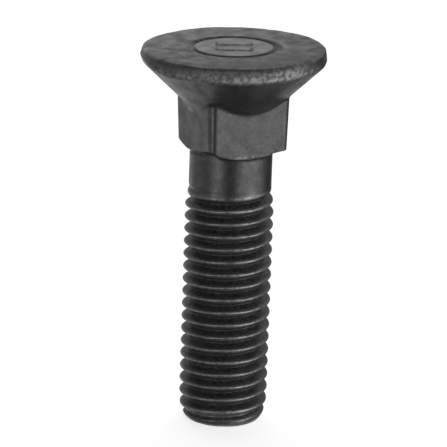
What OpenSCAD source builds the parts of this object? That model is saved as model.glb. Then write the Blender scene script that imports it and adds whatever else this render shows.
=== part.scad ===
// Blade bolt: a flat countersunk head, a square neck, a plain shank and a coarse rolled thread,
// forged as one piece. Sizes are in millimetres. The bolt stands on its thread end, with Z up
// its axis, and the flats of its neck face X and Y.

/* [Length] */
// Length over all, from the flat end of the thread to the top of the head
bolt_l = 67.95; // [55:0.05:120]

/* [Head] */
// Diameter of the head across its rim
head_d = 32.6; // [27:0.1:42]
// Height of the band round the rim, from the rounded edge to where the cone would cut it off
rim_h = 1; // [0.8:0.1:3]
// How far the band leans in towards the rounded edge
rim_lean = 0.15; // [0:0.05:0.6]
// Radius of the blunt edge where the band turns into the cone
rim_round = 1.2; // [0.5:0.1:2.2]
// Radius of the rounded edge at the top of the head
top_edge_r = 0.85; // [0.2:0.05:1.2]
// Full angle of the cone under the head
cone_angle = 90; // [76:1:112]

/* [Ring] */
// Diameter of the shallow ring pressed into the top of the head, over its outer edge
ring_d = 15.9; // [10:0.1:20]
// Width of the ring between its two upper edges
ring_w = 1.1; // [0.9:0.1:3]
// Depth of the ring
ring_depth = 0.35; // [0.2:0.05:0.8]
// How far each wall of the ring slopes in, in plan
ring_slope = 0.4; // [0.1:0.05:0.4]

/* [Neck] */
// Width of the square over that of the thread, across its flats where they meet the cone
neck_over = -0.35; // [-0.8:0.05:3]
// Draft of each flat, in degrees, which makes the neck narrower at its end
neck_draft = 1.85; // [0:0.05:3]
// Width that the flats lose at each corner
neck_corner = 0.85; // [0.4:0.05:1.6]
// Depth from the top of the head to the end of the neck
neck_end = 18.55; // [15:0.05:24]
// Slope of the bevel round the end of the neck, in degrees
neck_bevel = 24; // [10:1:40]

/* [Shank] */
// Length of the plain shank, from the end of the neck to the thread
plain_l = 6; // [2:0.1:20]

/* [Thread] */
// Diameter of the thread over its crests
thread_d = 15.7; // [13:0.05:20]
// Pitch of the thread, which is 11 turns to the inch
pitch = 2.309; // [1.5:0.001:3.2]
// Length over which the crests of the thread sink to the plain shank
crest_fade_l = 4.4; // [1.5:0.1:6]
// Length over which the groove between them runs out
groove_fade_l = 1.4; // [0.8:0.1:6]
// Diameter of the flat at the end of the thread
end_d = 12; // [9:0.1:14]
// Height over which the rounded end reaches the full thread
end_h = 5.4; // [2:0.1:8]
// Angle round the axis at which the thread starts
thread_start = 83; // [0:1:359]
// Number of flat sides that one turn of the thread is made of
turn_sides = 36; // [24:4:48]

/* [Hidden] */
steel = [0.16, 0.16, 0.165];
round_fn = 96;
edge_steps = 5;
end_steps = 6;

// A rolled thread rises above its blank about as far as it cuts into it, so the plain shank
// lies between the root and the crest
thread_r = thread_d / 2;
thread_h = 0.6134 * pitch;
shank_r = thread_r - 0.24 * pitch;

// Rows of the 60 degree thread form from crest to crest, each with its place as a share of
// the pitch and its depth as a share of the thread's depth
crest_half = 1 / 16;
shoulder_depth = 0.88;
shoulder_at = crest_half + shoulder_depth * thread_h * tan(30) / pitch;
thread_form = [
    [-crest_half, 0],
    [crest_half, 0],
    [shoulder_at, shoulder_depth],
    [1 / 2, 1],
    [1 - shoulder_at, shoulder_depth]
];

head_r = head_d / 2;
rim_foot_z = bolt_l - top_edge_r - rim_h;
cone_rise = 1 / tan(cone_angle / 2);
neck_w = thread_d + neck_over;
neck_z = bolt_l - neck_end;
seat_z = rim_foot_z - (head_r - neck_w / 2) * cone_rise;
fade_z = neck_z - plain_l;

// Points along an arc that may be longer one way than the other
function arc_points(centre, size, from, to, steps) = [
    for (i = [0:steps])
        let (a = from + (to - from) * i / steps)
        [centre[0] + size[0] * cos(a), centre[1] + size[1] * sin(a)]
];

// The head, turned about the axis: cone, blunt edge, leaning band, rounded edge and the ring
module head() {
    edge_r = head_r - rim_lean - top_edge_r;
    ring_r = ring_d / 2;
    cone_tip_r = neck_w / 4;
    cone_tip_z = rim_foot_z - (head_r - cone_tip_r) * cone_rise;
    blunt_z = rim_foot_z + rim_round * tan(cone_angle / 4);
    rotate_extrude($fn = round_fn)
        polygon(concat(
            [
                [0, cone_tip_z],
                [cone_tip_r, cone_tip_z]
            ],
            arc_points(
                [head_r - rim_round, blunt_z],
                [rim_round, rim_round],
                -cone_angle / 2,
                0,
                edge_steps
            ),
            arc_points(
                [edge_r, bolt_l - top_edge_r], [top_edge_r, top_edge_r], 0, 90, edge_steps
            ),
            [
                [ring_r, bolt_l],
                [ring_r - ring_slope, bolt_l - ring_depth],
                [ring_r - ring_w + ring_slope, bolt_l - ring_depth],
                [ring_r - ring_w, bolt_l],
                [0, bolt_l]
            ]
        ));
}

// A slab across the axis whose two broad faces lean in towards the end of the neck. It has
// the given width where the cone ends and runs on up into the head.
module leaning_slab(seat_w) {
    end_w = seat_w - 2 * (seat_z - neck_z) * tan(neck_draft);
    top_w = seat_w + 2 * (rim_foot_z - seat_z) * tan(neck_draft);
    rotate([90, 0, 0])
        linear_extrude(height = 2 * head_d, center = true)
            polygon([
                [-end_w / 2, neck_z],
                [end_w / 2, neck_z],
                [top_w / 2, rim_foot_z],
                [-top_w / 2, rim_foot_z]
            ]);
}

// The square neck: four leaning flats, four narrow corner flats and a bevel round its end
module neck() {
    corner_w = sqrt(2) * (neck_w - neck_corner);
    bevel_r = neck_w;
    bevel_h = (bevel_r - shank_r) * tan(neck_bevel);
    intersection() {
        leaning_slab(neck_w);
        rotate(90) leaning_slab(neck_w);
        rotate(45) leaning_slab(corner_w);
        rotate(135) leaning_slab(corner_w);
        rotate_extrude($fn = round_fn)
            polygon([
                [0, neck_z],
                [shank_r, neck_z],
                [bevel_r, neck_z + bevel_h],
                [bevel_r, rim_foot_z],
                [0, rim_foot_z]
            ]);
    }
}

// The plain shank, which runs up inside the neck
module shank() {
    translate([0, 0, fade_z])
        cylinder(h = plain_l + neck_end / 3, r = shank_r, $fn = round_fn);
}

// A rod with the thread all along it: rows of the thread form climb round the axis, and the
// last row of one turn meets the first row of the next. It starts below the flat end, fades
// at its top and ends a little way inside the plain shank.
module threaded_rod() {
    rows = len(thread_form);
    stub_r = shank_r - 0.05;
    first_z = -2 * pitch;
    stub_z = fade_z + 0.4;
    columns = ceil((stub_z - first_z) / pitch * turn_sides) + turn_sides;

    function share_left(z, fade_l) =
        let (t = max(0, min(1, (fade_z - z) / fade_l)))
        t * t * (3 - 2 * t);
    function rod_point(column, row) =
        let (
            turns = column / turn_sides,
            z = first_z + pitch * (turns + thread_form[row][0]),
            full_r = thread_r - thread_h * thread_form[row][1],
            fade_l = full_r > stub_r ? crest_fade_l : groove_fade_l,
            r = stub_r + (full_r - stub_r) * share_left(z, fade_l),
            a = thread_start + 360 * turns
        )
        [r * cos(a), r * sin(a), z];
    function at(column, row) = row == rows ? (column + turn_sides) * rows : column * rows + row;

    low_loop = concat(
        [for (i = [0:turn_sides]) at(i, 0)],
        [for (k = [rows - 1:-1:1]) at(0, k)]
    );
    high_loop = concat(
        [for (i = [columns - turn_sides:columns]) at(i, rows - 1)],
        [for (k = [rows - 2:-1:0]) at(columns, k)]
    );
    low_centre = (columns + 1) * rows;
    high_centre = low_centre + 1;

    polyhedron(
        points = concat(
            [for (i = [0:columns]) for (k = [0:rows - 1]) rod_point(i, k)],
            [[0, 0, first_z + pitch / 2], [0, 0, first_z + pitch * (columns / turn_sides - 0.5)]]
        ),
        faces = concat(
            [
                for (k = [0:rows - 1])
                    for (i = [0:columns - 1 - (k == rows - 1 ? turn_sides : 0)])
                        for (face = [
                            [at(i, k), at(i, k + 1), at(i + 1, k + 1)],
                            [at(i, k), at(i + 1, k + 1), at(i + 1, k)]
                        ]) face
            ],
            [
                for (j = [0:len(low_loop) - 1])
                    [low_centre, low_loop[j], low_loop[(j + 1) % len(low_loop)]]
            ],
            [
                for (j = [0:len(high_loop) - 1])
                    [high_centre, high_loop[(j + 1) % len(high_loop)], high_loop[j]]
            ]
        )
    );
}

// The space that the thread keeps to: a flat end, a rounded edge that gives way to the full
// thread, and all that is above it
module end_form() {
    clear_r = thread_r + 0.1;
    rotate_extrude($fn = round_fn)
        polygon(concat(
            [[0, 0]],
            arc_points([end_d / 2, end_h], [clear_r - end_d / 2, end_h], -90, 0, end_steps),
            [[clear_r + 1, bolt_l], [0, bolt_l]]
        ));
}

module thread() {
    intersection() {
        threaded_rod();
        end_form();
    }
}

module blade_bolt() {
    color(steel) {
        head();
        neck();
        shank();
        thread();
    }
}

blade_bolt();
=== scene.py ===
# %% [markdown]
# # A blade bolt in black steel
#
# A blade bolt holds the cutting edge of a grader or a plow. Its flat head lies level with the
# blade, a square neck keeps it from turning, and a coarse thread takes the nut. The real bolt is
# one piece: the head and neck are forged hot, the thread is rolled cold, and the whole is
# blackened in an oxide bath. So this file makes one surface, from the flat end of the thread
# round to the middle of the head, and puts it in the place of the plain CAD solid.

# %% Load the frame
import math

import bpy
import numpy as np
from mathutils import Matrix, Vector


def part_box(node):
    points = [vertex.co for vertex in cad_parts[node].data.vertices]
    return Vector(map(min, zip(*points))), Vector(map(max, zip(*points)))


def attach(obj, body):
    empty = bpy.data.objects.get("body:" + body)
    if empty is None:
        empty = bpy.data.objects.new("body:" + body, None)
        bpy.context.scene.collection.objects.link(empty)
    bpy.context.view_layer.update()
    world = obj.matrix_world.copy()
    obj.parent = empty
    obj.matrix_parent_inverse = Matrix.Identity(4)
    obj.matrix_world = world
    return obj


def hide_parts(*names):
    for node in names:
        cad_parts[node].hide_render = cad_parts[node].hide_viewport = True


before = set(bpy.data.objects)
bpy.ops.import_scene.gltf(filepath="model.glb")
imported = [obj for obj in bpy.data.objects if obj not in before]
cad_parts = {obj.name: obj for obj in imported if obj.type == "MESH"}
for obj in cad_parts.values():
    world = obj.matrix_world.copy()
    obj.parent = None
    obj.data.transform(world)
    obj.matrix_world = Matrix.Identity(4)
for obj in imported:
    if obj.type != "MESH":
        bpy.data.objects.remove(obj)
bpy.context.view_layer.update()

# %% [markdown]
# ## The camera
#
# The picture was taken from a little above, with a long lens, and the bolt leans two degrees in
# it. A camera is a position and three directions: to its right, up, and back towards the
# photographer. They are worked out in a frame that faces the camera, then turned round the
# bolt's axis so that the near corner of the neck shows left of the middle.

# %% Place the camera
view_turn = math.radians(-25.2)
view_rise = math.radians(16.3)
view_roll = math.radians(1.99)
view_distance = 0.601
view_centre = Vector((-0.00091, 0, 0.03588))
picture_width = 447
pixels_per_metre = 5661

back = Vector((0, -math.cos(view_rise), math.sin(view_rise)))
level_up = Vector((0, math.sin(view_rise), math.cos(view_rise)))
level_right = Vector((1, 0, 0))
right = math.cos(view_roll) * level_right + math.sin(view_roll) * level_up
up = math.cos(view_roll) * level_up - math.sin(view_roll) * level_right
eye = view_centre + view_distance * back

photographer = bpy.data.cameras.new("camera")
photographer.sensor_width = 36
photographer.lens = pixels_per_metre * view_distance * photographer.sensor_width / picture_width
photographer.clip_start = 0.01
photographer.clip_end = 20
camera = bpy.data.objects.new("camera", photographer)
facing = Matrix((right, up, back)).transposed().to_4x4()
camera.matrix_world = Matrix.Rotation(view_turn, 4, "Z") @ Matrix.Translation(eye) @ facing
bpy.context.scene.collection.objects.link(camera)
bpy.context.scene.camera = camera
bpy.context.scene.view_settings.view_transform = "Standard"
print("lens", round(photographer.lens, 1), "mm")

# %% [markdown]
# ## Helpers for node trees
#
# The finish and the studio light are both node trees. Nodes could be placed one by one, with a
# line for each socket and link. Four short helpers make the same trees easier to read: one makes
# a node, one a Math node, one a node group with named sockets, and one puts a group into a tree.

# %% Make nodes and groups
def new_node(tree, kind, sockets=None, **options):
    """A node of one kind. A value in sockets is put in, and another node's output is linked."""
    made = tree.nodes.new(kind)
    for name, value in options.items():
        setattr(made, name, value)
    for name, value in (sockets or {}).items():
        if isinstance(value, bpy.types.NodeSocket):
            tree.links.new(value, made.inputs[name])
        else:
            made.inputs[name].default_value = value
    return made


def math_node(tree, operation, *values, **options):
    """The output of a Math node that works on up to three values."""
    sockets = dict(enumerate(values))
    return new_node(tree, "ShaderNodeMath", sockets, operation=operation, **options).outputs[0]


def new_group(name, inputs, outputs):
    """An empty shader group. Its sockets are given as (name, kind) pairs."""
    tree = bpy.data.node_groups.new(name, "ShaderNodeTree")
    for label, kind in inputs:
        tree.interface.new_socket(label, in_out="INPUT", socket_type="NodeSocket" + kind)
    for label, kind in outputs:
        tree.interface.new_socket(label, in_out="OUTPUT", socket_type="NodeSocket" + kind)
    return tree, tree.nodes.new("NodeGroupInput"), tree.nodes.new("NodeGroupOutput")


def place_group(tree, group, **values):
    """A group node in a tree, with its sockets filled by name."""
    sockets = {name.replace("_", " "): value for name, value in values.items()}
    return new_node(tree, "ShaderNodeGroup", sockets, node_tree=group)

# %% [markdown]
# ## The studio
#
# Black steel shows the room more than its own colour, so the light is what models it. A
# photographer hangs soft panels round such a bolt, and moves them until its bands of light lie
# right. Here each panel is a patch of the sky: a range of directions, with soft edges. Between
# the panels the room is black, which gives the steel its dark bands. Each panel was first
# rendered alone. The strengths below are those whose sum comes nearest to the picture's tones.

# %% Define a soft panel
def panel_group():
    """1 inside a patch of directions and 0 outside it. The direction's turn is its angle to the
    right of the camera, and its rise is its angle above the horizon, both in radians."""
    tree, start, end = new_group(
        "soft panel",
        [
            ("Turn", "Float"), ("Rise", "Float"), ("Centre Turn", "Float"), ("Half Width", "Float"),
            ("Centre Rise", "Float"), ("Half Height", "Float"), ("Softness", "Float"),
        ],
        [("Light", "Float")],
    )
    given = start.outputs

    def inside(distance, half):
        edge = math_node(tree, "SUBTRACT", half, distance)
        share = new_node(
            tree,
            "ShaderNodeMapRange",
            {
                "Value": math_node(tree, "DIVIDE", edge, given["Softness"]),
                "From Min": -1.0, "From Max": 1.0,
            },
            interpolation_type="SMOOTHSTEP",
        )
        return share.outputs["Result"]

    turned = math_node(tree, "SUBTRACT", given["Turn"], given["Centre Turn"])
    wrapped = math_node(tree, "WRAP", turned, math.pi, -math.pi)
    across = inside(math_node(tree, "ABSOLUTE", wrapped), given["Half Width"])
    risen = math_node(tree, "SUBTRACT", given["Rise"], given["Centre Rise"])
    upright = inside(math_node(tree, "ABSOLUTE", risen), given["Half Height"])
    tree.links.new(math_node(tree, "MULTIPLY", across, upright), end.inputs["Light"])
    return tree


soft_panel = panel_group()
print(soft_panel.name, "has", len(soft_panel.nodes), "nodes")

# %% Hang the panels
# Each panel has its turn, half width, rise, half height and softness in degrees, and its light
panels = {
    "left": (-99, 74, 7, 30, 18, 0.35),
    "left low": (-91.5, 14, -20.5, 18, 12, 0.42),
    "left front": (-36, 10.6, -12.7, 14, 12, 2.41),
    "front left high": (-20, 18, 30, 8, 12, 1.68),
    "front high": (15, 17.5, 29, 8, 14, 1.46),
    "right near": (34, 14, -2, 9, 12, 1.80),
    "front right low": (38, 10, -16, 9, 10, 2.12),
    "right mid": (62, 12, -2, 10, 10, 4.76),
    "right floor": (65, 20, -52, 12, 12, 0.75),
    "right low": (71, 9, -27, 26, 16, 1.54),
    "right side": (92, 12, -5, 14, 12, 1.41),
    "back right": (118, 36, 31, 8, 16, 1.25),
    "behind": (-178, 40, 16, 11, 14, 0.57),
    "behind high": (-173, 44, 56, 9.5, 16, 2.67),
    "back left low": (-164, 41, -52, 40, 16, 0.67),
}

studio = bpy.data.worlds.new("studio")
bpy.context.scene.world = studio
studio.use_nodes = True
sky = studio.node_tree
sky.nodes.clear()
facing_camera = new_node(
    sky,
    "ShaderNodeVectorRotate",
    {
        "Vector": new_node(sky, "ShaderNodeTexCoord").outputs["Generated"],
        "Angle": -view_turn,
    },
    rotation_type="Z_AXIS",
)
seen = new_node(sky, "ShaderNodeSeparateXYZ", {"Vector": facing_camera.outputs["Vector"]}).outputs
towards = math_node(sky, "MULTIPLY", seen["Y"], -1.0)
turn_of_ray = math_node(sky, "ARCTAN2", seen["X"], towards)
rise_of_ray = math_node(sky, "ARCSINE", seen["Z"])
light = 0.0
for *degrees, strength in panels.values():
    turned, half_width, risen, half_height, softness = map(math.radians, degrees)
    patch = place_group(
        sky,
        soft_panel,
        Turn=turn_of_ray,
        Rise=rise_of_ray,
        Centre_Turn=turned,
        Half_Width=half_width,
        Centre_Rise=risen,
        Half_Height=half_height,
        Softness=softness,
    )
    light = math_node(sky, "MULTIPLY_ADD", patch.outputs["Light"], strength, light)
print(len(panels), "soft panels")

# %% [markdown]
# ## The backdrop
#
# Behind the bolt hangs white paper. Were it a lit wall, the steel would mirror it, and its dark
# bands would go. So the camera alone sees the paper, and every other ray sees the panels.

# %% Hang the backdrop
backdrop_tone = 0.93

lit_room = new_node(sky, "ShaderNodeBackground", {"Color": light})
plain_backdrop = new_node(sky, "ShaderNodeBackground", {"Color": (backdrop_tone,) * 3 + (1,)})
what_shows = new_node(
    sky,
    "ShaderNodeMixShader",
    {
        0: new_node(sky, "ShaderNodeLightPath").outputs["Is Camera Ray"],
        1: lit_room.outputs[0],
        2: plain_backdrop.outputs[0],
    },
)
new_node(sky, "ShaderNodeOutputWorld", {"Surface": what_shows.outputs[0]})
print("backdrop tone", backdrop_tone)

# %% [markdown]
# ## The floor
#
# The floor is a light table: pale, a little bright of itself, and only there for the camera. It
# throws nothing back on the steel, whose underside is nearly black in the picture, but it takes
# the bolt's soft shadow. Seen from below it is clear, so the end of the thread can be looked at.

# %% Lay the floor
floor_half = 3.0
floor_tone = 0.8
floor_glow = 0.72

floor_mesh = bpy.data.meshes.new("floor")
floor_corners = [(-1, -1), (1, -1), (1, 1), (-1, 1)]
floor_mesh.from_pydata(
    [(floor_half * x, floor_half * y, 0) for x, y in floor_corners], [], [(0, 1, 2, 3)]
)
floor = bpy.data.objects.new("floor", floor_mesh)
bpy.context.scene.collection.objects.link(floor)
floor.visible_diffuse = False
floor.visible_glossy = False
floor.visible_shadow = False
table_top = bpy.data.materials.new("light table")
table_top.use_nodes = True
tree = table_top.node_tree
tree.nodes.clear()
lit = new_node(
    tree,
    "ShaderNodeBsdfPrincipled",
    {
        "Base Color": (floor_tone,) * 3 + (1,),
        "Roughness": 0.9,
        "Specular IOR Level": 0.0,
        "Emission Color": (1, 1, 1, 1),
        "Emission Strength": floor_glow,
    },
)
one_sided = new_node(
    tree,
    "ShaderNodeMixShader",
    {
        0: new_node(tree, "ShaderNodeNewGeometry").outputs["Backfacing"],
        1: lit.outputs[0],
        2: new_node(tree, "ShaderNodeBsdfTransparent").outputs[0],
    },
)
new_node(tree, "ShaderNodeOutputMaterial", {"Surface": one_sided.outputs[0]})
floor_mesh.materials.append(table_top)
print("floor", 2 * floor_half, "m wide")

# %% [markdown]
# ## Sizes
#
# All lengths below are in millimetres, and become metres when the mesh is made. These are the
# sizes of the CAD solid, measured from the flat end of the thread upwards. Its length and the
# width of its head are checked against its own box. Where the look departs from the solid, as
# forgings depart from their drawing, that size is named at the step that uses it.

# %% Name the sizes
metres = 0.001
bolt_l = 67.95
head_r = 16.3

rim_h = 1.0
rim_lean = 0.15
top_edge_r = 0.85
cone_half = math.radians(45)
ring_r = 7.95
ring_w = 1.1
ring_depth = 0.35
ring_slope = 0.4

neck_half = 7.675
neck_draft = math.radians(1.85)
neck_corner = 0.85
neck_end = 18.55
neck_bevel = math.radians(24)

plain_l = 6.0
thread_r = 7.85
pitch = 2.309
crest_fade_l = 4.4
groove_fade_l = 1.4
end_r = 6.0
end_h = 5.4

rim_foot_z = bolt_l - top_edge_r - rim_h
neck_z = bolt_l - neck_end
fade_z = neck_z - plain_l
# A rolled thread stands above the plain shank by about a quarter of its pitch
shank_r = thread_r - 0.24 * pitch
seat_z = rim_foot_z - (head_r - neck_half) / math.tan(cone_half)
node_low, node_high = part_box("blade_bolt")
length_off, width_off = node_high[2] / metres - bolt_l, node_high[0] / metres - head_r
print("length and half width off by", round(length_off, 4), round(width_off, 4))
print("neck from", round(neck_z, 2), "to", round(seat_z, 2), "thread fades at", round(fade_z, 2))

# %% [markdown]
# ## Columns round the axis
#
# Every ray that leaves the axis level meets the bolt's side once, so its side is a radius for
# each turn and height. The columns of the grid stand closer together at the four corners of the
# neck, where the narrow corner flats and their rounded edges need them.

# %% Space the columns
flat_steps = 36
corner_steps = 16
corner_reach = math.radians(6.4)
quarter = math.pi / 2

flat_part = np.linspace(
    corner_reach - quarter / 2, quarter / 2 - corner_reach, flat_steps, endpoint=False
)
corner_part = np.linspace(
    quarter / 2 - corner_reach, quarter / 2 + corner_reach, corner_steps, endpoint=False
)
one_side = np.concatenate([flat_part, corner_part])
turn = (one_side[None, :] + quarter * np.arange(4)[:, None]).ravel()
columns = len(turn)


def from_camera(angle):
    """Angle round the axis from the camera's side, negative to the left, within half a turn."""
    return np.mod(angle - view_turn + 3 * quarter, 4 * quarter) - 2 * quarter


print(columns, "columns, the nearest to the camera", int(np.argmin(np.abs(from_camera(turn)))))

# %% [markdown]
# ## Rounded corners, ramps and humps
#
# The side is put together from simple shapes: the lower of two radii cuts one shape with
# another, and the higher of two joins them. A plain minimum leaves a knife edge, which no forging
# has. The first two helpers round the corner off, over a band where the two radii are nearly the
# same. Wear and dirt come and go softly too, so a ramp and a hump are all that their masks need.

# %% Blend radii and masks
def lower_of(a, b, band):
    """The lower of two radii, less a quarter of the band where they meet, fading to its edges."""
    near = np.clip(1 - np.abs(a - b) / band, 0, 1)
    return np.minimum(a, b) - band * near**2 / 4


def higher_of(a, b, band):
    """The higher of two radii, plus a quarter of the band where they meet."""
    return -lower_of(-a, -b, band)


def ramp(value, start, end):
    """0 at the start, 1 at the end, 3 t squared less 2 t cubed at a share t of the way, and flat
    beyond both. The end may be lower than the start."""
    t = np.clip((value - start) / (end - start), 0, 1)
    return t * t * (3 - 2 * t)


def hump(value, middle, width):
    """A bell: e to the power of minus the square of the distance from its middle in widths."""
    return np.exp(-(((value - middle) / width) ** 2))


print("two equal radii lose", -round(float(lower_of(0.0, 0.0, 0.4)), 3), "over a band of 0.4")

# %% [markdown]
# ## The thread
#
# A thread is one groove wound round the rod. Its section is a row of teeth with 60 degrees
# between their flanks, a rounded root and a narrow crest. Here the rows of the grid climb with
# the thread, so that each crest is one smooth row of faces. After one turn a row has climbed by
# one pitch, and meets the row that starts one tooth higher. Rolling has left the crests a little
# wider than the solid's, and so the root less deep.

# %% Shape one tooth
crest_half = 0.09 * pitch
crest_band = 0.45
root_round = 0.192
standard_depth = 0.6134 * pitch
flank_slope = 1 / math.tan(math.radians(30))


def tooth_depth(phase):
    """How deep the thread is below its crest line. The phase counts pitches from a crest, and the
    flanks fall at 60 degrees to the axis to a root that is rounded as a hyperbola is."""
    from_root = pitch * (0.5 - np.abs(phase - np.round(phase)))
    sharp_depth = flank_slope * (pitch / 2 - crest_half)
    flank = sharp_depth - flank_slope * np.sqrt(from_root**2 + root_round**2)
    return higher_of(0, flank, crest_band)


print("root", round(float(tooth_depth(0.5)), 3), "deep, the solid's", round(standard_depth, 3))

# %% [markdown]
# At its upper end the thread fades into the plain shank, and at its lower end the rod is rounded
# to a flat, which cuts the last teeth down. The rows would run past both ends, so their heights
# are held there, which lays the spare rows on one ring, and the doubled points are welded. The
# thread starts 26 degrees further round than the solid's, which sets its crests where the picture
# has them.

# %% Wind the thread
thread_start = math.radians(109)
ring_z = fade_z + 0.2
end_band = 0.25
end_clear = 0.1
edge_reach = 1.0
# Rows of one tooth in hundredths of a pitch, closer together where its section bends
tooth_rows = np.array([0, 3, 7, 12, 25, 38, 44, 50, 56, 62, 75, 88, 93, 97]) / 100


def end_radius(z):
    """The rounded end: a quarter of an ellipse from the flat to beyond the crests, then more."""
    rise = 1 - np.clip(z / end_h, 0, 1)
    full = thread_r + end_clear - end_r
    return end_r + full * np.sqrt(1 - rise**2) + 5 * np.clip(z - end_h, 0, 1)


def drawn_to_edge(z):
    """Heights near the flat end moved closer to it, where its edge curves most."""
    t = np.clip(z / edge_reach, 0, 1)
    return np.where(z < edge_reach, edge_reach * t * t * (2 - t), z)


def wind_thread():
    """Radii and heights of the threaded rod, as columns by rows, and the phase of each row. Each
    row climbs one pitch in a turn, and its radius is the tooth's, faded at the top and cut by the
    rounded end."""
    lead = (turn - thread_start) / (2 * np.pi)
    first = math.floor(-lead[0]) - 1
    last = math.ceil(ring_z / pitch + 1 - lead[-1])
    phase = (np.arange(first, last)[:, None] + tooth_rows).ravel()
    climbed = np.clip(pitch * (lead[:, None] + phase), 0, ring_z)
    z = drawn_to_edge(climbed)
    tooth_r = thread_r - tooth_depth(phase)[None, :]
    shown = ramp(z, fade_z, fade_z - np.where(tooth_r > shank_r, crest_fade_l, groove_fade_l))
    r = shank_r + (tooth_r - shank_r) * shown
    return lower_of(r, end_radius(z), end_band), z, phase


thread_r_grid, thread_z_grid, thread_phase = wind_thread()
print("thread grid", thread_z_grid.shape)

# %% [markdown]
# ## Wear and painted light on the thread
#
# Crests knock against nuts and other bolts until they shine, and a streak of them right of the
# camera is paler still: a painted highlight. The grooves are darkened with painted shade. Wear
# could be painted on by hand, or found from how sharply the mesh bends. Here it is worked out
# from each point's place on its tooth, because real wear follows the same line on every tooth.
# The last turn was never rolled to full depth, so it is paler, and the right half of its edge
# carries a painted highlight. Each grid carries four masks, which the finish reads: rubbed
# crests with painted highlights, painted shade, the chewed rim with painted light, and pale
# oxide with painted light.

# %% Wear the thread and paint its light and shade
mask_names = ("crest", "groove", "rim", "pale")
# Places on a tooth are shares of the pitch. A hump has a middle and a width, a ramp two ends.
crest_line = (-0.07, 0.155)
groove_top, groove_bottom = (0.26, 0.42), (0.93, 0.81)
last_root, last_flank = (0.62, 0.12), (0.3, 0.18)
# Places across the picture, from -1 at the left edge of the bolt to 1 at the right
# A streak of crests right of the camera and the right half of the edge get a painted highlight
highlight_streak, right_half = (0.35, 0.22), (-0.2, 0.2)
# Heights in millimetres
crest_starts, first_turn = (fade_z - 0.2, fade_z - 0.8), (fade_z - 1.2, fade_z - 2.7)
groove_starts, crest_ends = (fade_z - 0.5, fade_z - 1.6), (0, 2)
last_turn_top, lit_edge = (2.8, 2.1), (0.4, 0.3)
# Strengths
first_turn_worn, crest_worn, streak_highlight, edge_highlight = 0.45, 0.72, 0.7, 0.8
last_turn_pale, last_flank_pale = 0.3, 3.2


def layered(r, z, **masks):
    """Radii, heights and the four masks as one array, with 0 for a mask that isn't given."""
    return np.stack([r, z + 0 * r] + [masks.get(name, 0) + 0 * r for name in mask_names])


def wear_and_light_thread(r, z, phase):
    """The thread's grid with its masks. The crest mask is a hump a little below each crest, with
    a painted highlight on a streak right of the camera and on the right half of the flat end's
    edge. The painted shade mask is full from the lower part of one flank over the root to the
    top of the next, but on the last turn it is a hump in the root, and the pale mask a hump on
    the flank above."""
    rightwards = np.sin(from_camera(turn))[:, None]
    above_crest = (phase - np.round(phase))[None, :]
    below_crest = np.mod(-phase, 1)[None, :]
    crest = hump(above_crest, *crest_line) * ramp(z, *crest_starts) * ramp(z, *crest_ends)
    crest = crest * (first_turn_worn + (1 - first_turn_worn) * ramp(z, *first_turn))
    # Rubbed crests, with a painted highlight on the streak right of the camera
    crest = crest * (crest_worn + streak_highlight * hump(rightwards, *highlight_streak))
    # A painted highlight on the right half of the flat end's edge
    edge = edge_highlight * hump(z, *lit_edge) * ramp(rightwards, *right_half)
    # Painted shade darkens the grooves, and on the last turn only the root
    groove = ramp(below_crest, *groove_top) * ramp(below_crest, *groove_bottom)
    groove = groove * ramp(z, *groove_starts)
    last_turn = ramp(z, *last_turn_top)
    groove = groove + (hump(below_crest, *last_root) - groove) * last_turn
    pale = last_turn * (last_turn_pale + last_flank_pale * hump(below_crest, *last_flank))
    return layered(r, z, crest=np.maximum(crest, edge), groove=groove, pale=pale)


thread_part = wear_and_light_thread(thread_r_grid, thread_z_grid, thread_phase)
print("share of the thread rubbed", round(float((thread_part[2] > 0.5).mean()), 3))

# %% [markdown]
# ## The neck
#
# From the thread up, the side is four shapes: the round shank, a bevel under the neck, the square
# neck with its narrow corner flats, and the cone of the head. In the solid they are cut out of
# one another. Here each is a radius for a turn and a height, so that one smooth skin can follow
# them, and the marks of a worn die can be added: the foot of the neck is higher under the flat at
# the left, and the bevel is hollow under the corner at the right.

# %% Shape the neck
corner_band = 0.52
corner_lean = 0.7
bevel_reach = 2.7
foot_lift = 0.85
# Degrees to the right of the camera between which the foot's lift comes in, on either side
lift_right, lift_left = (-12, -26), (-88, -58)
hollow_at, hollow_near = math.radians(70), (0.75, 1)
hollow_rise, hollow_bend = 0.67, 0.84


def square(angle, half):
    """Radius of a square of a half width."""
    return half / np.maximum(np.abs(np.cos(angle)), np.abs(np.sin(angle)))


def neck_radius(angle, z):
    """The square neck: four flats, cut at the corners by a second square that is turned by an
    eighth of a turn. Both lean in towards the neck's end, the corners a little less."""
    lean = (seat_z - z) * math.tan(neck_draft)
    corner_half = math.sqrt(2) * (neck_half - neck_corner / 2 - corner_lean * lean)
    corners = square(angle - quarter / 2, corner_half)
    return lower_of(square(angle, neck_half - lean), corners, corner_band)


def foot_line(angle):
    """Height where the neck's foot meets the shank. It is lifted under the flat at the left, in
    full from 26 to 58 degrees to the left of the camera."""
    aside = np.degrees(from_camera(angle))
    return neck_z + foot_lift * ramp(aside, *lift_right) * ramp(aside, *lift_left)


def bevel_curve(angle):
    """The bevel's rise is a first share times its reach and a second times the square of it. It
    is straight, but hollow under the corner 70 degrees to the right of the camera."""
    right_corner = ramp(np.cos(from_camera(angle) - hollow_at), *hollow_near)
    return 1 + hollow_rise * right_corner, -hollow_bend * right_corner


def bevel_radius(angle, z):
    """The bevel under the neck, worked back from its height to its reach."""
    first, second = bevel_curve(angle)
    risen = (z - foot_line(angle)) / (bevel_reach * math.tan(neck_bevel))
    root = np.sqrt(np.maximum(first**2 + 4 * second * risen, 0))
    return shank_r + bevel_reach * 2 * risen / (first + root)


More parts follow.
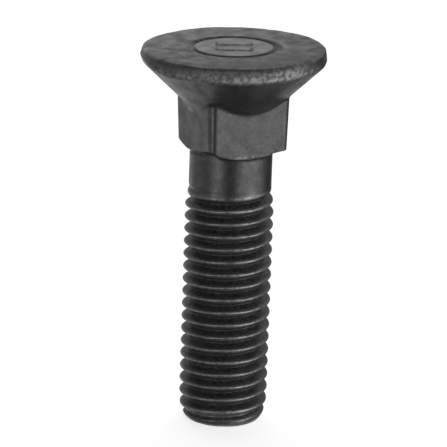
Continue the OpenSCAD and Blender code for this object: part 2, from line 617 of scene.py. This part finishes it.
def bevel_height(angle, r):
    """Height of the bevel at a radius."""
    first, second = bevel_curve(angle)
    reach = np.clip((r - shank_r) / bevel_reach, 0, 1)
    rise = bevel_reach * math.tan(neck_bevel) * (first * reach + second * reach**2)
    return foot_line(angle) + rise


lifted = foot_line(turn) - neck_z
print("foot of the neck lifted by up to", round(float(lifted.max()), 2), "mm")

# %% [markdown]
# ## The cone and the rim
#
# A blow that lands a little off centre pushes more steel to one side, and the rim shows it. Its
# lower edge hangs down at the front and is crisp on the right and blunt elsewhere, and the upper
# edge is softer at the front. A turned profile would be the same all round, as the solid's is, so
# these sizes are functions of the turn too.

# %% Shape the cone and the rim
rim_crisp = 0.35
rim_blunt = 1.5
rim_droop = 0.62
top_edge_soft = 1.3
# Each change is full in one direction, and comes in over a range of the cosine from there
crisp_at, crisp_near = math.radians(40), (-0.5, 0.5)
droop_at, droop_near = math.radians(10), (-0.15, 0.7)
soft_near = (0, 2 / 3)


def rim_round(angle):
    """Radius of the blunt edge under the rim: crisp round a direction 40 degrees to the right of
    the camera, and blunt elsewhere."""
    crisp = ramp(np.cos(from_camera(angle) - crisp_at), *crisp_near)
    return rim_blunt + (rim_crisp - rim_blunt) * crisp


def foot_height(angle):
    """Height where the band round the rim would meet the cone. It hangs lower at the front, most
    at 10 degrees to the right of the camera."""
    return rim_foot_z - rim_droop * ramp(np.cos(from_camera(angle) - droop_at), *droop_near)


def edge_round(angle):
    """Radius of the edge round the top of the head. It is softer at the front."""
    soft = ramp(np.cos(from_camera(angle)), *soft_near)
    return top_edge_r + (top_edge_soft - top_edge_r) * soft


def blunt_centre(angle):
    """Height of the centre of the blunt edge's arc."""
    return foot_height(angle) + rim_round(angle) * math.tan(cone_half / 2)


def cone_spread(angle):
    """How far the cone widens for each step upwards, from the neck to the foot of the band."""
    return (head_r - neck_half) / (foot_height(angle) - seat_z)


def cone_radius(angle, z):
    """The cone under the head."""
    return head_r - (foot_height(angle) - z) * cone_spread(angle)


print("blunt edge from", round(float(rim_round(turn).min()), 2), "to", rim_blunt, "mm")

# %% [markdown]
# ## The side as one grid
#
# The shapes are cut and joined as radii. The heights of the rows follow the edges where the
# shapes meet, which rise and fall round the bolt, so that no edge is jagged. Even rows would
# need many more faces for the same edges. Those heights depend on the radii and the radii on the
# heights, so both are found by six rounds of guessing. The corner under the neck is darkened with
# painted shade, and the edge above it carries a painted highlight at the front.

# %% Make the side
bevel_band = 0.3
foot_band = 0.16
fillet_crisp, fillet_soft, fillet_near = 0.35, 1.1, (0.45, 0.95)
under_foot_l = 0.5
rounds = 6
shank_rows, under_foot_rows, bevel_rows, neck_rows, cone_rows = 12, 6, 8, 26, 18


def fillet_band(angle):
    """The fillet above the neck: crisp on most sides and soft on the flat that faces -X."""
    return fillet_crisp + (fillet_soft - fillet_crisp) * ramp(-np.cos(angle), *fillet_near)


def side_radius(angle, z):
    """The bevel cut by the square neck, joined with the round shank and with the cone."""
    r = lower_of(bevel_radius(angle, z), neck_radius(angle, z), bevel_band)
    r = higher_of(shank_r, r, foot_band)
    return higher_of(r, cone_radius(angle, z), fillet_band(angle))


def spaced(count, crowded="both"):
    """Shares from 0 up to 1, closer together at the start, the end, both or neither."""
    t = np.linspace(0, 1, count, endpoint=False)[:, None]
    return {
        "both": (1 - np.cos(np.pi * t)) / 2,
        "start": 1 - np.cos(np.pi * t / 2),
        "end": np.sin(np.pi * t / 2),
        "neither": t,
    }[crowded]


def side_heights(angle):
    """Heights of the rows in each column, from the ring above the thread to the blunt edge."""
    bevel_top = np.full_like(angle, neck_z)
    seat = np.full_like(angle, seat_z)
    for _ in range(rounds):
        bevel_top = bevel_height(angle, neck_radius(angle, bevel_top))
        seat = foot_height(angle) - (head_r - neck_radius(angle, seat)) / cone_spread(angle)
    cone_top = blunt_centre(angle) - rim_round(angle) * math.sin(cone_half)
    foot = foot_line(angle)
    under_foot = foot - under_foot_l
    return np.concatenate([
        ring_z + (under_foot - ring_z) * spaced(shank_rows, "end"),
        under_foot + (foot - under_foot) * spaced(under_foot_rows, "end"),
        foot + (bevel_top - foot) * spaced(bevel_rows),
        bevel_top + (seat - bevel_top) * spaced(neck_rows),
        seat + (cone_top - seat) * spaced(cone_rows, "start"),
    ])


side_z_grid = side_heights(turn[None, :])
side_r_grid = side_radius(turn[None, :], side_z_grid)
print("side grid", side_z_grid.shape)

# %% Paint shade and a highlight on the neck
# Millimetres above the neck's foot. A hump has a middle and a width.
shade_middle, shade_width = -0.05, 0.3
shade_lower_left, shade_wider_left = 0.55, 0.06
neck_edge, neck_edge_highlight = (0.5, 0.22), 0.75
# Directions of the left side, in degrees, and of the two ends of the painted highlight, in radians
left_side, lit_left, lit_right = (-25, -50), (-0.2, 0.2), (1.1, 0.7)


def shade_and_light_side(r, z):
    """The side's grid with its masks. The painted shade under the neck reaches lower on the left,
    and a painted highlight on the edge above it shows at the front."""
    aside = from_camera(turn[None, :])
    above_foot = z - foot_line(turn[None, :])
    left = ramp(np.degrees(aside), *left_side)
    # Painted shade under the neck's foot, lower and wider on the left
    middle, width = shade_middle - shade_lower_left * left, shade_width + shade_wider_left * left
    front = ramp(aside, *lit_left) * ramp(aside, *lit_right)
    # A painted highlight on the edge above the foot, at the front
    by_masks = neck_edge_highlight * hump(above_foot, *neck_edge) * front
    return layered(r, z, groove=hump(above_foot, middle, width), rim=by_masks)


side_part = shade_and_light_side(side_r_grid, side_z_grid)
# Points in the painted shade under the neck
print("points in the dirt under the neck:", int((side_part[3] > 0.5).sum()))

# %% [markdown]
# ## The top of the head
#
# Above the cone the head is a profile carried round the axis: a blunt edge, a short band, a
# rounded edge and the flat top with a shallow ring. Two plain raised bars stand inside the ring
# and say nothing. Ring and bars could be cut and joined as solids, but here they are heights on
# the flat top. So they are part of the same skin, and their edges are rounded by the same ramp.

# %% Raise the ring and the bars
ring_in = ring_r - ring_w
ring_soft = 0.1
bar_rise = 0.28
bar_edge = 0.9
bar_half_l = 3.1
bar_half_w = 1.1
bar_places = (-2.1, 1.9)


def ring_height(r):
    """Height of the top of the head: a shallow ring with sloping walls and rounded edges."""
    outer = ramp(r, ring_r + ring_soft, ring_r - ring_slope - ring_soft)
    inner = ramp(r, ring_in - ring_soft, ring_in + ring_slope + ring_soft)
    return -ring_depth * outer * inner


def bar_height(angle, r):
    """Height of the bars on the middle of the head: each is a box with sloping sides."""
    across = r * np.cos(angle - view_turn)
    away = r * np.sin(angle - view_turn)
    half_edge = bar_edge / 2
    long_way = ramp(np.abs(across), bar_half_l + half_edge, bar_half_l - half_edge)
    short_ways = [
        ramp(np.abs(away - place), bar_half_w + half_edge, bar_half_w - half_edge)
        for place in bar_places
    ]
    return bar_rise * long_way * np.max(short_ways, axis=0)


print("deepest in the ring", round(float(ring_height(ring_r - ring_w / 2)), 3), "mm")

# %% Carry the profile round
blunt_rows, band_rows, edge_rows, flat_rows, ring_rows, disc_rows = 10, 6, 9, 18, 20, 40
ring_margin = 0.2


def head_profile(angle):
    """Radii and heights of the head above its cone, as rows by columns, up to the middle."""
    q, q_z = rim_round(angle), blunt_centre(angle)
    q_top = edge_round(angle)
    edge_r, edge_z = head_r - rim_lean - q_top, bolt_l - q_top
    blunt = -cone_half * (1 - spaced(blunt_rows, "neither"))
    band = spaced(band_rows, "neither")
    edge = quarter * spaced(edge_rows, "neither")
    outer, inner = ring_r + ring_margin, ring_in - ring_margin
    top_r = np.concatenate([
        edge_r + (outer - edge_r) * spaced(flat_rows, "neither"),
        outer + (inner - outer) * spaced(ring_rows, "neither") + 0 * angle,
        np.linspace(inner, 0, disc_rows)[:, None] + 0 * angle,
    ])
    r = np.concatenate([
        head_r - q + q * np.cos(blunt),
        head_r - rim_lean * band + 0 * angle,
        edge_r + q_top * np.cos(edge),
        top_r,
    ])
    z = np.concatenate([
        q_z + q * np.sin(blunt),
        q_z + (edge_z - q_z) * band,
        edge_z + q_top * np.sin(edge),
        bolt_l + ring_height(top_r) + bar_height(angle, top_r),
    ])
    return r, z


head_r_grid, head_z_grid = head_profile(turn[None, :])
print("head grid", head_z_grid.shape)

# %% [markdown]
# ## Wear and painted light on the head
#
# The rim takes the knocks. Its lower part is chewed to bare steel, and at the front, most of all
# right of the middle, it is paler still where painted light stands in for light from below. The
# walls of the ring that face the camera and the slopes of the bars are darkened with painted
# shade. The oxide is thinnest, and so palest, on the disc inside the ring. The far side of the
# top is lighter and the near right darker, which is painted light, and a lip round the ring on
# the far right carries a painted highlight. The masks are worked out from radius, height and
# turn, which are known here for every point, so nothing has to be measured on the finished mesh.

# %% Wear the head and paint its light and shade
# Angles are in degrees to the right of the camera. A hump has a middle and a width.
chewed_lit_most, chewed_lit_again = (9, 17), (36, 18)
chewed_lit_middle, chewed_lit_reach = 5, (75, 45)
rubbed_lit_left, rubbed_lit_right = (-50, -10), (80, 50)
# Shares of chewed steel with painted light on the rim, strongest at the front
chewed_lit_low, chewed_lit_peak, rubbed_lit_all, rubbed_lit_peak = 0.55, 0.75, 0.22, 0.2
# Heights above the band's foot, and above the top of the head
chewed_lit_top, rubbed_lit_top, top_begins = (1.5, 0), (0.15, -0.45), -0.5
# Walls of the ring and the lip round it, as radii, with the strengths of their masks
outer_wall, inner_wall, lip = (ring_r - 0.1, 0.6), (ring_in + 0.2, 0.33), (ring_r + 1.1, 0.5)
# Strengths of the painted shade on the ring's walls and on the bars' slopes
outer_shade, inner_shade, bar_shade = 1.2, 1.1, 4
# Pale tone of the disc and the top; painted light on the lip, the far side and the near right
disc_pale, lip_highlight, top_pale, far_light, right_shade = 2.25, 1.2, 0.48, 0.45, 0.3
disc_edge = 0.1
# Shares away from the camera, 1 at the back and -1 at the front, between which each comes in
far_side, near_side, far_right = (0, 0.3), (0.1, -0.2), (0, 0.6)


def chewed_and_lit_rim(angle, z):
    """The rim mask, chewed steel with painted light at the front: a part that fades out 1.5 mm
    above the band's foot, and a weaker part that fades out at the top edge."""
    aside = np.degrees(from_camera(angle))
    low = ramp(z - foot_height(angle), *chewed_lit_top)
    low = low * (chewed_lit_low + chewed_lit_peak * hump(aside, *chewed_lit_most))
    low = low * ramp(np.abs(aside - chewed_lit_middle), *chewed_lit_reach)
    whole = rubbed_lit_all * ramp(aside, *rubbed_lit_left) * ramp(aside, *rubbed_lit_right)
    whole = whole + rubbed_lit_peak * hump(aside, *chewed_lit_again)
    return low + whole * ramp(z - bolt_l, *rubbed_lit_top)


def shaded_top(angle, r):
    """The painted shade mask on the top: painted shade on the ring's far outer wall and its near
    inner wall, which face the camera, and on the slopes of the bars, where the share s of their
    height gives s times 1 less s."""
    away, rightwards = -np.cos(from_camera(angle)), np.sin(from_camera(angle))
    far = outer_shade * hump(r, *outer_wall) * ramp(away + 0.3 * rightwards, *far_side)
    near = inner_shade * hump(r, *inner_wall) * ramp(away, *near_side)
    bars = bar_height(angle, r) / bar_rise
    return np.maximum(np.maximum(far, near), bar_shade * bars * (1 - bars))


def pale_and_lit_top(angle, r):
    """The pale mask on the top: the disc, or else a tone with painted light that falls from the far
    left to the near right, with a painted highlight on the lip at the far right."""
    away, rightwards = -np.cos(from_camera(angle)), np.sin(from_camera(angle))
    disc = disc_pale * ramp(r, ring_in + disc_edge, ring_in - disc_edge)
    lip_highlight_share = lip_highlight * hump(r, *lip) * ramp(away + rightwards, *far_right)
    slope = (far_light * away - right_shade * rightwards) * r / head_r
    return np.maximum(disc, top_pale + slope + lip_highlight_share)


def wear_and_light_head(angle, r, z):
    """The three masks of the head. Two of them are kept to the flat top."""
    flat_top = z > bolt_l + top_begins
    return {
        "rim": chewed_and_lit_rim(angle, z),
        "groove": shaded_top(angle, r) * flat_top,
        "pale": pale_and_lit_top(angle, r) * flat_top,
    }


head_masks = wear_and_light_head(turn[None, :], head_r_grid, head_z_grid)
print("strongest wear on the rim", round(float(head_masks["rim"].max()), 2))

# %% [markdown]
# ## A rim that wanders
#
# Forged rims are never true circles. A sum of sines round the rim moves it in and out and up and
# down by a tenth of a millimetre or so. Noise would do as well, but a sum of whole waves closes
# on itself after one turn. The masks were made first, so they wander along.

# %% Let the rim wander
rim_wander = 0.065
rise_share = 0.6
wander_from, wander_above_foot = (13.5, 15.5), (-0.4, 0.4)
# Each wave has its count round the rim, where it starts and its share
waves = ((2, 0.4, 1.0), (5, 1.9, 0.8), (9, 4.1, 0.6), (16, 0.7, 0.5), (27, 2.6, 0.4))


def uneven(angle):
    """The waves round the rim, added up."""
    return sum(size * np.sin(count * angle + start) for count, start, size in waves)


def wander(angle, r, z):
    """Radii and heights moved by the waves, near the rim only."""
    near_rim = ramp(r, *wander_from) * ramp(z - foot_height(angle), *wander_above_foot)
    r = r + rim_wander * uneven(angle) * near_rim
    return r, z + rim_wander * rise_share * uneven(angle + 1) * near_rim


head_part = layered(*wander(turn[None, :], head_r_grid, head_z_grid), **head_masks)
moved = np.abs(head_part[0] - head_r_grid).max()
print("rim moved by up to", round(float(moved), 3), "mm")

# %% [markdown]
# ## One skin
#
# The three grids share their rings, so laid end to end and welded they are one closed skin. The
# flat end of the thread is a last small grid. Faces that lost a side in the weld become
# triangles, and those that lost two are dropped.

# %% Join the grids
cap_steps = 8


def grid_faces(rows, shift=0):
    """Four-sided faces of a grid of columns by rows that closes round the axis. The last column
    meets the first one a number of rows higher."""
    column, row = np.meshgrid(np.arange(columns), np.arange(rows - 1), indexing="ij")
    beside = (column + 1) % columns
    lifted = row + shift * (column == columns - 1)
    kept = lifted < rows - 1
    here, next_one = column * rows + row, beside * rows + lifted
    return np.stack([here, next_one, next_one + 1, here + 1], axis=-1)[kept]


def to_points(r, z):
    """Columns of radii and heights as points in space."""
    angle = turn[:, None]
    return np.stack([r * np.cos(angle), r * np.sin(angle), z], axis=-1).reshape(-1, 3)


def weld(points, faces, step=1e-5):
    """Each point once. Gives the points kept, the faces with four and with three corners."""
    keys = np.round(points / step).astype(np.int64)
    _, first, same = np.unique(keys, axis=0, return_index=True, return_inverse=True)
    faces = same.reshape(-1)[faces]
    doubled = faces == np.roll(faces, -1, axis=1)
    lost = doubled.sum(axis=1)
    return first, faces[lost == 0], faces[lost == 1][~doubled[lost == 1]].reshape(-1, 3)


def join_skin():
    """All points of the bolt in millimetres, the faces between them and the four masks."""
    cap_r = np.linspace(0, end_r, cap_steps)[None, :] + 0 * turn[:, None]
    above = np.concatenate([side_part, head_part], axis=1).transpose(0, 2, 1)
    points, faces, masks, count = [], [], [], 0
    for grid, shift in ((layered(cap_r, 0), 0), (thread_part, len(tooth_rows)), (above, 0)):
        points.append(to_points(grid[0], grid[1]))
        masks.append(grid[2:].reshape(len(mask_names), -1))
        faces.append(grid_faces(grid.shape[2], shift) + count)
        count += grid[0].size
    return np.concatenate(points), np.concatenate(faces), np.concatenate(masks, axis=1)


skin, skin_faces, skin_masks = join_skin()
kept_points, quads, triangles = weld(skin, skin_faces)
skin, skin_masks = skin[kept_points], skin_masks[:, kept_points]
print(len(skin), "points,", 2 * len(quads) + len(triangles), "triangles")

# %% Check that the skin is closed
corners = [np.stack([faces, np.roll(faces, -1, axis=1)], axis=-1) for faces in (quads, triangles)]
edges = np.sort(np.concatenate([pairs.reshape(-1, 2) for pairs in corners]), axis=1)
uses = np.unique(edges, axis=0, return_counts=True)[1]
print(len(uses), "edges, of which", int((uses != 2).sum()), "don't have two faces")

# %% [markdown]
# ## A lean in the forging
#
# The punch that made this head didn't come down quite square to the rod. Seen from the camera,
# the head and neck lean a little to the left of the shank, so all their points are turned by
# under a degree about the line of sight. The turn comes in over the foot of the neck.

# %% Lean the head
head_lean = math.radians(0.9)
lean_pivot = 59.0
lean_comes_in = (neck_z - 0.4, neck_z + 1.1)


def lean_head(points):
    """Points turned about a level line that points away from the camera, at the pivot's height.
    The share of the turn rises from 0 below the neck to 1 above its foot."""
    sideways = np.array([math.cos(view_turn), math.sin(view_turn), 0])
    slope = math.tan(head_lean) * ramp(points[:, 2], *lean_comes_in)
    leant = points - np.outer(slope * (points[:, 2] - lean_pivot), sideways)
    leant[:, 2] += slope * (points @ sideways)
    return leant


skin = lean_head(skin)
print("highest point", round(float(skin[:, 2].max()), 2))

# %% [markdown]
# ## Black steel
#
# The finish is hot black oxide: a skin of magnetite a thousandth of a millimetre thick, which is
# dark and satin but lets the metal's shine through. It rubs off first where bolts knock against
# each other, so the crests of the thread and part of the rim are paler and brighter. The same
# bare tone also paints highlights on crests, rim and neck. A dark tone paints shade in the grooves
# and hollows. A painted texture would need a photo and would blur up close. Noise in the object's
# own space is sharp at any distance, so two groups make it: one the grain of the forging, one the
# patches of wear and painted shade inside the masks.

# %% Make the grain group
# Height of the mottle over that of the grain
mottle_height = 6.0


def noise(tree, place, per_millimetre, detail, roughness=0.5):
    """Noise of a given fineness in the object's own space, which is in metres."""
    scale = math_node(tree, "MULTIPLY", per_millimetre, 1 / metres)
    sockets = {"Vector": place, "Scale": scale, "Detail": detail, "Roughness": roughness}
    return new_node(tree, "ShaderNodeTexNoise", sockets).outputs[0]


def between(tree, value, low, high, to_low=0.0, to_high=1.0):
    """The value's place between low and high, eased, as a value between two others."""
    return new_node(
        tree,
        "ShaderNodeMapRange",
        {"Value": value, "From Min": low, "From Max": high, "To Min": to_low, "To Max": to_high},
        interpolation_type="SMOOTHSTEP",
    ).outputs["Result"]


def grain_group():
    """Mottle a few millimetres across, grain a fraction of one, and a height made of both."""
    tree, start, end = new_group(
        "forged grain",
        [("Place", "Vector"), ("Mottle per mm", "Float"), ("Grain per mm", "Float")],
        [("Mottle", "Float"), ("Grain", "Float"), ("Height", "Float")],
    )
    given = start.outputs
    mottle = noise(tree, given["Place"], given["Mottle per mm"], 3.0)
    grain = noise(tree, given["Place"], given["Grain per mm"], 2.0)
    tree.links.new(mottle, end.inputs["Mottle"])
    tree.links.new(grain, end.inputs["Grain"])
    height = math_node(tree, "MULTIPLY_ADD", mottle, mottle_height, grain)
    tree.links.new(height, end.inputs["Height"])
    return tree


forged_grain = grain_group()
print(forged_grain.name, "has", len(forged_grain.nodes), "nodes")

# %% Make the wear group
def wear_and_light_group():
    """How bare and how shaded the steel is: bare for wear and painted highlights, shaded for
    painted shade. Specks of noise break the masks up: crests wear more in some places than
    others, the rim in small patches, and the painted shade covers almost everywhere."""
    tree, start, end = new_group(
        "wear and painted light",
        [("Crest", "Float"), ("Painted Shade", "Float"), ("Rim", "Float"), ("Speck", "Float")],
        [("Bare And Lit", "Float"), ("Shade Share", "Float")],
    )
    given = start.outputs
    # Specks keep between about 0.35 and 0.65. Each line spreads a part of that over its shares.
    crest_patches = between(tree, given["Speck"], 0.35, 0.62, 0.35, 1.15)
    rim_patches = between(tree, given["Speck"], 0.44, 0.58, 0.3, 1.0)
    on_crest = math_node(tree, "MULTIPLY", given["Crest"], crest_patches)
    on_rim = math_node(tree, "MULTIPLY", given["Rim"], rim_patches)
    tree.links.new(math_node(tree, "MAXIMUM", on_crest, on_rim), end.inputs["Bare And Lit"])
    deep = between(tree, given["Painted Shade"], 0.1, 0.9)
    shade_patches = between(tree, given["Speck"], 0.42, 0.56, 0.65, 1.0)
    tree.links.new(math_node(tree, "MULTIPLY", deep, shade_patches), end.inputs["Shade Share"])
    return tree


wear_and_painted_light = wear_and_light_group()
print(wear_and_painted_light.name, "has", len(wear_and_painted_light.nodes), "nodes")

# %% [markdown]
# One shader serves the whole bolt. Oxide, bare steel and painted shade each have a tone, a share
# of metal and a roughness, and the masks mix them. The bare tone also paints highlights. The oxide
# is mottled, and more so where it is pale. The chewed rim is rough and pitted, so it scatters the
# light where the crests mirror it. Pits, mottle and grain are a few thousandths of a millimetre
# high, so they are bump and not mesh.

# %% Blacken the steel
# The bare tone also paints highlights, and the dark tone paints shade
oxide_tone, bare_and_lit_tone, shade_tone = 0.08, 0.4, 0.02
oxide_metal, bare_metal, shade_metal = 0.65, 0.8, 0.2
oxide_rough, bare_rough, chewed_rough, shade_rough = 0.36, 0.44, 0.7, 0.5
rough_swing = 0.07
mottle_per_mm, grain_per_mm, speck_per_mm = 0.4, 2.2, 1.3
bump_depth = 0.000007
pit_share = 8.0
# Noise keeps near its middle, so these are the ranges of it that are spread out
mottle_range, grain_range = (0.3, 0.7), (0.35, 0.65)


def mask(tree, name):
    """One of the mesh's own masks."""
    return new_node(tree, "ShaderNodeAttribute", attribute_name=name).outputs["Fac"]


def mix_values(tree, share, first, second):
    """One value or the other, or something between."""
    return new_node(
        tree, "ShaderNodeMix", {0: share, 2: first, 3: second}, data_type="FLOAT"
    ).outputs[0]


def oxide_colour(tree, grain):
    """Tone of the oxide: grainy, raised by the pale mask, which also holds painted light, and
    mottled more where it is pale.
    """
    pale = mask(tree, "pale")
    patchiness = between(tree, pale, 0.0, 0.5, 0.12, 0.6)
    patches = between(tree, grain["Mottle"], *mottle_range, -1.0, 1.0)
    raised = math_node(tree, "ADD", pale, 1.0)
    share = math_node(tree, "MULTIPLY_ADD", patches, patchiness, raised)
    grainy = between(tree, grain["Grain"], *grain_range, 0.88 * oxide_tone, 1.12 * oxide_tone)
    return math_node(tree, "MULTIPLY", share, grainy)


def black_steel():
    """Satin oxide, with bare steel, which also carries painted highlights, and then painted shade
    mixed in by their shares.
    """
    steel = bpy.data.materials.new("black steel")
    steel.use_nodes = True
    tree = steel.node_tree
    tree.nodes.clear()
    place = new_node(tree, "ShaderNodeTexCoord").outputs["Object"]
    fineness = {"Mottle_per_mm": mottle_per_mm, "Grain_per_mm": grain_per_mm}
    grain = place_group(tree, forged_grain, Place=place, **fineness).outputs
    speck = noise(tree, place, speck_per_mm, 4.0, 0.6)
    crest, groove, rim = (mask(tree, name) for name in mask_names[:3])
    masks = {"Crest": crest, "Painted Shade": groove, "Rim": rim}
    wear = place_group(tree, wear_and_painted_light, Speck=speck, **masks).outputs

    def by_masks(black, bare, shade_value):
        return mix_values(tree, wear["Shade Share"], mix_values(tree, wear["Bare And Lit"], black, bare), shade_value)

    shade_colour = between(tree, grain["Grain"], *grain_range, 0.3 * shade_tone, 2.0 * shade_tone)
    smoother, rougher = oxide_rough - rough_swing, oxide_rough + rough_swing
    satin = between(tree, grain["Mottle"], *mottle_range, rougher, smoother)
    rubbed = mix_values(tree, wear["Bare And Lit"], satin, bare_rough)
    roughened = between(tree, speck, 0.46, 0.6, 1.6, 0.8)
    chewed = math_node(tree, "MULTIPLY", rim, roughened, use_clamp=True)
    chewed_or_not = mix_values(tree, chewed, rubbed, chewed_rough)
    pits = math_node(tree, "MULTIPLY", rim, speck)
    height = math_node(tree, "MULTIPLY_ADD", pits, pit_share, grain["Height"])
    dented = new_node(
        tree, "ShaderNodeBump", {"Height": height, "Distance": bump_depth, "Strength": 1.0}
    )
    shader = new_node(
        tree,
        "ShaderNodeBsdfPrincipled",
        {
            "Base Color": by_masks(oxide_colour(tree, grain), bare_and_lit_tone, shade_colour),
            "Metallic": by_masks(oxide_metal, bare_metal, shade_metal),
            "Roughness": mix_values(tree, wear["Shade Share"], chewed_or_not, shade_rough),
            "Normal": dented.outputs["Normal"],
        },
    )
    new_node(tree, "ShaderNodeOutputMaterial", {"Surface": shader.outputs[0]})
    return steel


bolt_steel = black_steel()
print(bolt_steel.name, "has", len(bolt_steel.node_tree.nodes), "nodes")

# %% [markdown]
# ## The finished bolt
#
# The skin becomes a mesh in metres, shaded smooth, with the four masks as attributes on its
# points. It takes the place of the CAD solid, which stays in the frame for collision.

# %% Make the bolt
bolt_mesh = bpy.data.meshes.new("black_bolt")
bolt_mesh.from_pydata(skin * metres, [], quads.tolist() + triangles.tolist())
bolt_mesh.shade_smooth()
for name, values in zip(mask_names, skin_masks):
    bolt_mesh.attributes.new(name, "FLOAT", "POINT").data.foreach_set("value", values)
bolt_mesh.materials.append(bolt_steel)
bolt = bpy.data.objects.new("black_bolt", bolt_mesh)
bpy.context.scene.collection.objects.link(bolt)

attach(bolt, "root")
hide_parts("blade_bolt")
print(bolt.name, "has", len(bolt_mesh.polygons), "faces")
